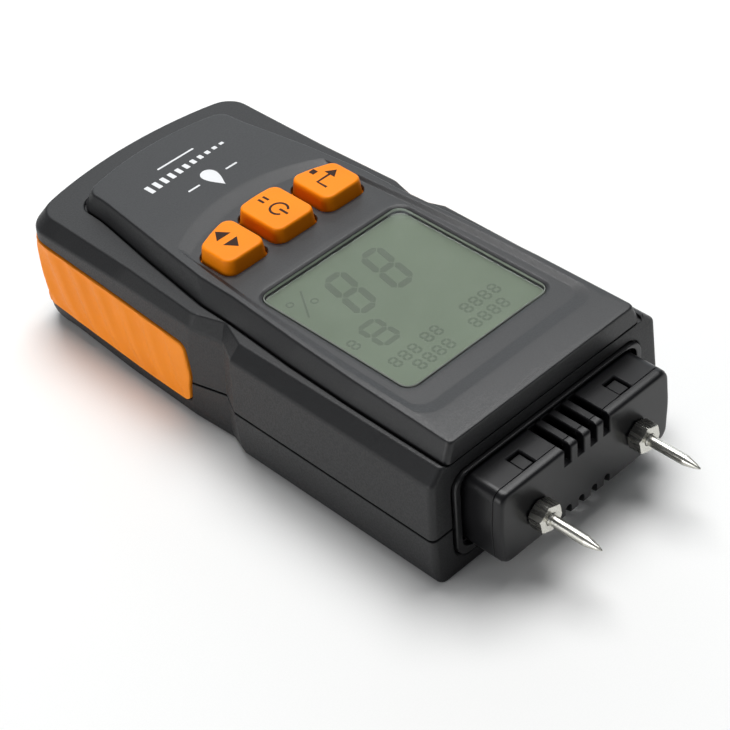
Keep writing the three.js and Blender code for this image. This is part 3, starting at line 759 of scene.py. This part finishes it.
def recess_loop(t):
    """An outline on the slope of the recess: 0 at its top and 1 at its foot."""
    def mix(a, b):
        return a + (b - a) * t
    sides = [(mix(top, foot), y) for y, top, foot in RECESS_SIDE]
    apex, radius = (mix(a, b) for a, b in zip(*RECESS_ARC))
    front = mix(*RECESS_FRONT)
    start = next(x for x in np.arange(24, 10, -0.01)
                 if x <= np.interp(arc_y(x, apex, radius), [p[1] for p in sides], [p[0] for p in sides]))
    arc = [(x, arc_y(x, apex, radius)) for x in np.linspace(0, start, 16)[:-1]]
    corner = (start, arc_y(start, apex, radius), 1.2, 5)
    long_side = [(x, y, 12, 3) for x, y in sides if arc_y(start, apex, radius) + 3 < y < 40]
    right = [*arc[1:], corner, *long_side, (sides[-1][0], front, mix(*RECESS_CORNER), 8)]
    left = [(-p[0], *p[1:]) for p in reversed(right)]
    return resample(rounded([arc[0], *right, *left]), 1.5)


def plate_base(x, y):
    return FACE_Z - max(0.0, -41 - y) * 0.9 / 28.2 - 0.15 * (x / 26) ** 2 - 0.25 * smooth((y - 45) / 8)


RECESS_STEPS = (-0.1, 0.0, 0.1, 0.36, 0.64, 0.9, 1.0, 1.1)
RECESS_LINES = [recess_loop(t) for t in RECESS_STEPS]
RECESS_MIDDLE = np.array(RECESS_LINES[RECESS_STEPS.index(0.64)])
RECESS_AT = {point: t for t, line in zip(RECESS_STEPS, RECESS_LINES) for point in line}


def plate_height(x, y):
    """The faceplate's top away from the slope, or on one of its outlines."""
    share = RECESS_AT.get((x, y))
    if share is None:
        share = float(within(np.array([(x, y)]), RECESS_MIDDLE)[0])
    soft = min(1.0, max(0.0, share))
    return plate_base(x, y) - RECESS_DEPTH * (0.75 * soft + 0.25 * smooth(soft))


def faceplate():
    builder = Builder()
    top_in = [(x, y, plate_height(x, y)) for x, y, _ in plan_ring(PLATE_TOP, 0.75)]
    edge = [(x, y, plate_height(x, y) - 0.02) for x, y, _ in plan_ring(PLATE_TOP)]
    rings = [top_in, edge, plan_ring(SKIRT), plan_ring(SKIRT, 0, 29.0), plan_ring(SKIRT, 2.8, 29.0),
             plan_ring(SKIRT, 2.8, 32.4)]
    outer = [builder.ring(r) for r in eased(rings, {1: 0.6}, 6)]
    builder.bridge(*outer)
    holes_top, holes_low = [], []
    def hole(shape, profile):
        made = []
        for down, grow in profile:
            made.append(builder.ring([(x, y, plate_height(x, y) - down if down < 2 else down)
                                      for x, y in shape(grow)]))
        builder.bridge(*made)
        holes_top.append(made[0])
        holes_low.append(made[-1])
    for span in KEY_SPANS.values():
        hole(lambda by, span=span: key_outline(span, -0.3 - by),
             [(0, 0.24), (0.05, 0.1), (0.14, 0.03), (0.3, 0), (32.4, 0)])
    hole(WINDOW, [(0, 0.95), (0.05, 0.72), (0.3, 0.22), (0.42, 0.06), (0.6, 0), (31.6, 0), (31.6, -0.3),
                  (31.38, -0.3), (31.38, 2.0), (32.4, 2.0)])
    flat_loops = [[builder.verts[i][:2] for i in ids] for ids in (outer[0], *holes_top)]
    outside = scatter([flat_loops[0], RECESS_LINES[0]], 1.1, 0.45)
    sunken = scatter([RECESS_LINES[-1], *flat_loops[1:]], 1.1, 0.45)
    builder.fill([outer[0], *holes_top], lambda x, y: (x, y, plate_height(x, y)), outside + sunken, RECESS_LINES)
    builder.fill([outer[-1], *holes_low])
    return builder.build("face_panel")


def decal(name, shapes, height):
    """A printed mark: thin closed islands that follow a surface."""
    builder = Builder()
    for shape in shapes:
        outline = resample(shape, 1.0)
        top = builder.ring([(x, y, height(x, y) + 0.03) for x, y in outline])
        low = builder.ring([(x, y, height(x, y) - 0.06) for x, y in outline])
        builder.bridge(low, top)
        for ids in (low, top):
            builder.fill([ids])
    return builder.build(name)


def stroke(points, width):
    """The outline of an open line of some width."""
    p = np.array(points, float)
    d = np.gradient(p, axis=0)
    n = np.stack([d[:, 1], -d[:, 0]], 1)
    n /= np.linalg.norm(n, axis=1, keepdims=True)
    return [tuple(q) for q in p + n * width / 2] + [tuple(q) for q in (p - n * width / 2)[::-1]]


def arc_points(x, y, radius, start, stop):
    return [(x + radius * math.cos(math.radians(a)), y + radius * math.sin(math.radians(a)))
            for a in np.linspace(start, stop, 24)]


def bar(x, y, width, height, radius=0.2):
    return rectangle(x - width / 2, x + width / 2, y - height / 2, y + height / 2, radius, 3)


def droplet(x, y, size):
    """A drop with its tip towards the pins."""
    side = [(0.5 * size * math.sin(t) * math.sin(t / 2) ** 1.4, 0.72 * size * math.cos(t))
            for t in np.linspace(0, 2 * math.pi, 41)[:-1]]
    return [(x + u, y + v) for u, v in side]


# ---- display marks
def segments(x, y, width, height, bold):
    """The bars of a seven-segment digit whose lower left corner is (x, y)."""
    gap, half = 0.1 * bold, bold / 2
    def across(v):
        return [(x + gap + half, v), (x + gap + bold, v + half), (x + width - gap - bold, v + half),
                (x + width - gap - half, v), (x + width - gap - bold, v - half), (x + gap + bold, v - half)]
    def upright(u, v0, v1):
        return [(u, v0 + gap), (u + half, v0 + gap + half), (u + half, v1 - gap - half), (u, v1 - gap),
                (u - half, v1 - gap - half), (u - half, v0 + gap + half)]
    middle = y + height / 2
    places = {
        "a": across(y + height - half), "g": across(middle), "d": across(y + half),
        "b": upright(x + width - half, middle, y + height - half), "c": upright(x + width - half, y + half, middle),
        "f": upright(x + half, middle, y + height - half), "e": upright(x + half, y + half, middle),
    }
    return [anticlockwise(places[k]) for k in "abcdefg"]


def small_rings(*places):
    """Each has a hairline gap, so that it is one outline."""
    return [stroke(arc_points(x, y, 0.75, 4, 356), 0.4) for x, y in places]


def slanted(shapes, y0):
    """Shapes that lean towards +X above y0."""
    return [[(x + (y - y0) * 0.17, y) for x, y in shape] for shape in shapes]


# ---- head
def head_outline(by):
    edge = HEAD["x"] + by
    corner, middle = edge - 0.7, (HEAD["bottom"] + HEAD["top"]) / 2
    low, high = HEAD["bottom"] - by, HEAD["top"] + by
    return rounded([(-corner, low, 2.4), (corner, low, 2.4), (edge, middle, 30, 4), (corner, high, 2.4),
                    (-corner, high, 2.4), (-edge, middle, 30, 4)])


SLOTS = (-5.9, -1.97, 1.97, 5.9)
HOOK_X = 14.5
PIN_X, PIN_Z = 15.1, 13.94


def slot_tools():
    tools = []
    for i, x in enumerate(SLOTS):
        upper = rect(x - 1, x + 1, 53.6, 72)
        tools.append(skin(f"slot_top_{i}", along_z(upper, [(20.0, 0), (24.15, 0), (24.45, 0.26), (27, 2.5)])))
        mouth = rect(x - 1, x + 1, 20.0, 30)
        tools.append(skin(f"slot_mouth_{i}", along_y(mouth, [(60, 0), (63.1, 0), (63.35, 0.24), (65, 1.6)])))
        notch = rounded([(x - 0.95, 4), (x + 0.95, 4), (x + 0.95, 8.6, 0.9), (x - 0.95, 8.6, 0.9)])
        for name, ends in (("slot_low", (54.2, 59.8)), ("notch", (61.9, 72))):
            tools.append(skin(f"{name}_{i}", [[(u, y, v) for u, v in notch] for y in ends]))
    return tools


def probe_head():
    sleeve = skin("head_sleeve", along_y(head_outline, [(48.4, 0), (60.9, 0), (60.97, -0.07)]))
    flange = skin("flange", along_y(rect(-28, 28, 3.8, 26, 3), [(48.4, 0), (50.6, 0)]))
    join(sleeve, flange)
    cut(sleeve, skin("bore", along_y(lambda by: head_outline(by - 1.6), [(40, 0), (70, 0)])))
    windows = []
    for side in (-1, 1):
        shape = rect(side * HOOK_X - 1.75, side * HOOK_X + 1.75, 56.3, 60.9)
        windows.append(skin(f"window_{side}", along_z(shape, [(20, 0), (24.12, 0), (24.45, 0.3), (27, 2.6)])))
    return cut(sleeve, *slot_tools(), *windows)


def probe_cover():
    stations = [(61.07, -0.07), (61.14, 0), (62.2, -0.02), (63.3, -0.35), (63.3, -1.8)]
    rings = eased(along_y(head_outline, stations), {3: 0.9}, 6)
    cover = skin("head_cover", rings)
    hooks = []
    for side in (-1, 1):
        x = side * HOOK_X
        arm, catch = rect(x - 1.3, x + 1.3, 57.2, 61.9, 0.3, 3), rect(x - 1.45, x + 1.45, 56.75, 60.5, 0.2, 3)
        hooks.append(skin(f"arm_{side}", along_z(arm, [(21, 0), (22.4, 0)])))
        hooks.append(skin(f"catch_{side}", along_z(catch, [(22.2, 0), (23.75, 0), (23.9, -0.15)])))
    join(cover, *hooks)
    holes = [skin(f"pin_hole_{s}", turned([(1.85, 55), (1.85, 63.1), (2.1, 63.35), (3.6, 65)], s * PIN_X, PIN_Z))
             for s in (-1, 1)]
    return cut(cover, *slot_tools(), *holes)


def seal_ring():
    outer = rect(-28.3, 28.3, 3.3, 25.6, 3.8)
    inner = rect(-26.7, 26.7, 4.9, 24.95, 3.0)
    rings = [along_y(s, [st])[0] for s, st in ((inner, (52.4, 0)), (outer, (52.4, 0)), (outer, (53.7, 0)),
                                              (inner, (53.7, 0)))]
    return skin("seal_band", eased(rings, {0: 0.05, 1: 0.05, 2: 0.4, 3: 0.25}, 4), closed=True)


def hex_nut(name, x):
    radius, y0, y1 = 3.45, 63.6, 66.9
    angles = [math.radians(10 + 60 * i) for i in range(6)]
    hexagon = [(x + radius * math.sin(a), PIN_Z + radius * math.cos(a)) for a in angles]
    nut = skin(name, [[(u, y, v) for u, v in hexagon] for y in (y0, y1)])
    dome = skin("dome", turned([(3.15, y0), (3.5, y0 + 0.2), (3.5, y1 - 0.2), (3.15, y1)], x, PIN_Z, 96))
    combine(nut, [dome], "INTERSECT")
    return cut(nut, skin("thread_hole", turned([(1.5, y0 - 2), (1.5, y1 + 2)], x, PIN_Z)))


def pin(name, x):
    threads = []
    for i in range(9):
        y = 62.9 + i * 0.42
        threads += [(1.3, y), (1.45, y + 0.14), (1.45, y + 0.2), (1.3, y + 0.36)]
    profile = [(0.02, 56.6), (1.3, 56.6), (1.42, 56.75), (1.42, 62.7), *threads, (1.4, 67.0), (1.2, 67.25),
               (1.2, 75.9), (1.14, 76.3), (0.62, 78.6), (0.24, 79.7), (0.12, 79.93), (0.01, 80.0)]
    return skin(name, turned(profile, x, PIN_Z, 40))


# ---- battery compartment
CELLS = [(-16.5, False), (-5.5, True), (5.5, False), (16.5, True)]
CELL = {"radius": 5.25, "length": 44.5, "z": 8.05}
CONTACT_Y, SPRING = -75.5, 2.6


def cell_start(flip):
    return CONTACT_Y + GAP + (0 if flip else SPRING + GAP)


def cell(name, x, flip):
    r, length = CELL["radius"], CELL["length"]
    profile = [(0.02, 0.25), (2.9, 0.25), (3.1, 0), (4.8, 0), (r - 0.02, 0.3), (r, 0.7), (r, length - 1.6),
               (r - 0.1, length - 1.25), (4.6, length - 1.02), (4.3, length - 1.15), (3.2, length - 1.1),
               (1.95, length - 0.95), (1.9, length - 0.2), (1.7, length), (0.02, length)]
    start = cell_start(flip)
    placed = [(a, start + (length - b if flip else b)) for a, b in profile]
    return skin(name, turned(placed, x, CELL["z"], 56))


def spring(name, x, flip):
    """A conical wire spring between the contact plate and a cell's plain end."""
    start = cell_start(flip) + CELL["length"] + GAP if flip else cell_start(flip) - GAP - SPRING
    wire, turns, steps, sides = 0.28, 2.6, 96, 8
    rings = []
    for k in range(steps + 1):
        t = k / steps
        wide = 3.25 - 1.35 * t
        y = wire + (SPRING - 2 * wire) * smooth(t)
        y = start + (SPRING - y if flip else y)
        a = 2 * math.pi * turns * t
        centre = Vector((x + wide * math.cos(a), y, CELL["z"] + wide * math.sin(a)))
        out = Vector((math.cos(a), 0, math.sin(a)))
        rings.append([tuple(centre + (out * c + Vector((0, 1, 0)) * s) * wire) for c, s in circle(0, 0, 1, sides)])
    return skin(name, rings)


def battery_door():
    door_x, front, low, high = 22.9, -25.0, 0.3, 2.1
    panel = skin("door_panel", along_z(rect(-door_x, door_x, PAST_TAIL, front, 1.0),
                                       [(low, -0.3), (low + 0.3, 0), (high, 0)]))
    tongue = skin("tongue", along_z(rect(-23.9, 23.9, -75, front - 1), [(1.2, 0), (high, 0)]))
    tail = cut(skin("tail_wall", along_z(rect(-door_x, door_x, PAST_TAIL, -70), [(low, 0), (7.3, 0)])), inside(1.2))
    join(panel, tongue, tail)
    outer = skin("outer", eased([plan_ring(FLOOR), plan_ring(HEM), plan_ring(JOINT, 0, 12)], {1: 1.6}))
    combine(panel, [outer], "INTERSECT")
    ribs = [skin(f"rib_{i}", along_z(rect(-8, 8, -66 + 2.2 * i, -65 + 2.2 * i, 0.45, 4),
                                     [(-1, 0.7), (low, 0.1), (low + 0.45, -0.25)])) for i in range(5)]
    arrow = anticlockwise([(-4, -70.2), (0, -73.4), (4, -70.2)])
    ribs.append(skin("arrow", [[(x, y, z) for x, y in arrow] for z in (-1, low + 0.55)]))
    return cut(panel, *ribs)


# ---- the pieces
make_camera()
make_studio()

BLACK = (0.0105, 0.0108, 0.0118)
case_plastic = moulded("case_abs", BLACK, 0.5, 2.4, 0.022, lift=1.8, Specular_IOR_Level=0.4)
face_plastic = moulded("face_abs", (0.0095, 0.0098, 0.011), 0.44, 2.8, 0.018, edge_highlight_radius=0.25, lift=1.8)
head_plastic = moulded("head_abs", (0.007, 0.007, 0.008), 0.3, 2.0, 0.0012, edge_highlight_radius=0.22, lift=2.0, polish=0.012,
                       Specular_IOR_Level=0.32)
seal_rubber = moulded("seal_rubber", (0.008, 0.008, 0.009), 0.38, 1.6, 0.002, edge_highlight_radius=0.2, lift=1.6, polish=0.015)
key_orange = moulded("key_elastomer", (1.0, 0.26, 0.002), 0.42, 1.8, 0.01, 0.04, 0.3, 1.1, Specular_IOR_Level=0.15)
grip_orange = moulded("grip_elastomer", (0.98, 0.28, 0.012), 0.5, 2.0, 0.014, 0.05, 0.3, 1.12, Specular_IOR_Level=0.2)
legend_ink = moulded("legend_ink", (0.035, 0.014, 0.008), 0.5, 2.0, 0.004, 0.05, 0.05, Specular_IOR_Level=0.1)
white_ink = moulded("white_ink", (0.75, 0.76, 0.77), 0.5, 2.0, 0.004, 0.05, 0.05)
nickel = metal("nickel", (0.62, 0.61, 0.56), 0.27, (1, 0.1, 1), 0.0012)
lcd_glass, lcd_ghost = (moulded(name, tone, 0.45, 0.5, 0.002, 0.05, 0.1, Specular_IOR_Level=0.1) for name, tone in
                        (("lcd_glass", (0.178, 0.203, 0.162)), ("lcd_ghost", (0.132, 0.147, 0.122))))

piece(rear_case(), "case", case_plastic, ["rear_case"])
piece(front_case(), "case", case_plastic, ["front_case"])
piece(faceplate(), "case", face_plastic, ["faceplate"])
lens = skin("display_window", along_z(WINDOW, [(31.9, -0.12), (33.35, -0.12), (33.55, -0.32)]))
piece(lens, "case", clear_pane(), ["display_lens"])
lcd = skin("display_glass", along_z(rect(-21.5, 21.5, -10.1, 36.1, 0.6), [(28.2, 0), (31.2, 0), (31.28, -0.08)]))
piece(lcd, "case", lcd_glass, ["lcd_panel"])

GRIP = [(0, -0.7), (0, 0.0), (-0.12, 0.28), (-0.42, 0.43), (-0.9, 0.45)]
right_grip = side_patch("grip_pad_right", GRIP, True)
for side, grip in (("right", right_grip), ("left", mirrored("grip_pad_left", right_grip))):
    piece(grip, "case", grip_orange, [f"grip_{side}"], 40)

piece(seal_ring(), "case", seal_rubber, ["head_seal"])
piece(probe_head(), "case", head_plastic, ["probe_head"])
piece(probe_cover(), "case", head_plastic, ["probe_cover"])
for side, x in (("right", PIN_X), ("left", -PIN_X)):
    piece(hex_nut(f"hex_nut_{side}", x), "case", nickel, [f"pin_nut_{side}"])
    piece(pin(f"needle_{side}", x), "case", nickel, [f"probe_pin_{side}"])

KEY_MARKS = {
    "set": [anticlockwise([(12.6, -24.4), (16.6, -24.4), (14.6, -21.6)]),
            anticlockwise([(12.6, -26.4), (16.6, -26.4), (14.6, -29.2)])],
    "power": [stroke(arc_points(0, -24.6, 2.0, 125, 415), 0.55), bar(0, -23.1, 0.6, 2.6),
              bar(-0.7, -29.6, 0.6, 1.9, 0.1), bar(0.7, -29.6, 0.6, 1.9, 0.1)],
    "enter": [stroke([(-12.2, -22.3), (-12.2, -25.2), (-16.2, -25.2)], 0.6),
              anticlockwise([(-15.9, -23.6), (-15.9, -26.8), (-18.2, -25.2)]), bar(-14.2, -28.6, 1.5, 1.5, 0.1)],
}
for label, span in KEY_SPANS.items():
    piece(key_cap(f"keycap_{label}", span), f"key_{label}", key_orange, [f"key_{label}"])
    marks = decal(f"legend_{label}", KEY_MARKS[label], key_dome(span))
    piece(marks, f"key_{label}", legend_ink)

scale = [bar(-11.25 + 2.25 * i, -56.4 + 0.11 * i, 1.15, 0.9 + 0.22 * i, 0.15) for i in range(11)]
emblem = [droplet(-1, -47.4, 5.4), bar(-6.6, -47.8, 3.4, 0.55), bar(4.6, -47.8, 3.4, 0.55), *scale,
          bar(-0.4, -60.0, 10.8, 0.55)]
piece(decal("face_print", emblem, plate_height), "case", white_ink)

DIGIT_Y, MARK_Z = -4.2, 31.27
ghosts = slanted([s for x in (-9.4, 1.6) for s in segments(x, DIGIT_Y, 6.4, 14.6, 1.7)], DIGIT_Y)
ghosts += [*segments(8.2, 12.4, 6.0, 8.8, 1.3), *small_rings((17.2, -3.6), (12.9, -0.6)),
           stroke([(12.6, -5.2), (17.4, 2.4)], 0.5)]
SMALL_DIGITS = ((-15.6, 23.4, 4), (-13.4, 28.0, 4), (2.0, 23.6, 2), (9.0, 24.2, 3), (3.4, 28.4, 4), (16.4, 14.0, 1))
for x, y, digits in SMALL_DIGITS:
    for i in range(digits):
        ghosts += segments(x + 2.8 * i, y, 2.2, 3.4, 0.55)
piece(decal("display_marks", ghosts, lambda x, y: MARK_Z), "case", lcd_ghost)

steel = metal("spring_steel", (0.62, 0.62, 0.62), 0.28)
COPPER, TIN = (0.62, 0.30, 0.10), (0.6, 0.6, 0.58)
for i, (x, flip) in enumerate(CELLS, 1):
    start, length = cell_start(flip), CELL["length"]
    jacket = Recipe(f"cell_jacket_{i}", (0.03, 0.10, 0.24), 0.3).mottle(0.1, 0.05)
    plus, minus = (start, start + length) if flip else (start + length, start)
    inward = 1 if flip else -1
    for edges, tone in (((plus + inward * 12, plus + inward * 1.2), COPPER),
                        ((plus + inward * 1.15, plus - inward * 1), TIN),
                        ((minus - inward * 0.5, minus + inward * 1), TIN)):
        jacket.band("Y", *sorted(edges), tone)
    # the jacket's edges get a painted highlight: coloured a little lighter than the faces
    material = jacket.edge_highlight(0.15, 1.1).grain(0.8, 0.003).done()
    piece(cell(f"aaa_cell_{i}", x, flip), "case", material, [f"battery_{i}"])
    piece(spring(f"coil_{i}", x, flip), "case", steel, [f"battery_spring_{i}"])
piece(battery_door(), "battery_door", case_plastic, ["battery_door"])

# ---- CAD nodes that stay
# the board's edges get a painted highlight: coloured a little lighter than the faces
board_mask = Recipe("board_mask", (0.015, 0.12, 0.045), 0.35).mottle(0.4, 0.15).edge_highlight(0.1).grain(1.5, 0.006).done()
inner_black = moulded("inner_plastic", (0.02, 0.02, 0.022), 0.6)
elastomer = moulded("zebra_elastomer", (0.05, 0.05, 0.05), 0.7)
cream = moulded("plunger_pom", (0.62, 0.60, 0.52), 0.4, 1.5, 0.008)
brass = metal("brass", (0.72, 0.52, 0.22), 0.3)
screw_steel = metal("screw_steel", (0.45, 0.45, 0.47), 0.3)
lead_red = moulded("lead_red", (0.45, 0.03, 0.02), 0.45)
lead_black = moulded("lead_black", (0.02, 0.02, 0.02), 0.45)
STAY = {
    "lcd_frame": inner_black, "controller_chip": inner_black, "buzzer": inner_black, "circuit_board": board_mask,
    "zebra_strip": elastomer, "switch_": inner_black, "plunger_": cream, "pin_socket": brass,
    "board_screw": screw_steel, "case_screw": screw_steel, "contact_plate": steel,
    "probe_lead_right": lead_red, "probe_lead_left": lead_black,
}
for name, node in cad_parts.items():
    for prefix, material in STAY.items():
        if name.startswith(prefix):
            coat(node, material)
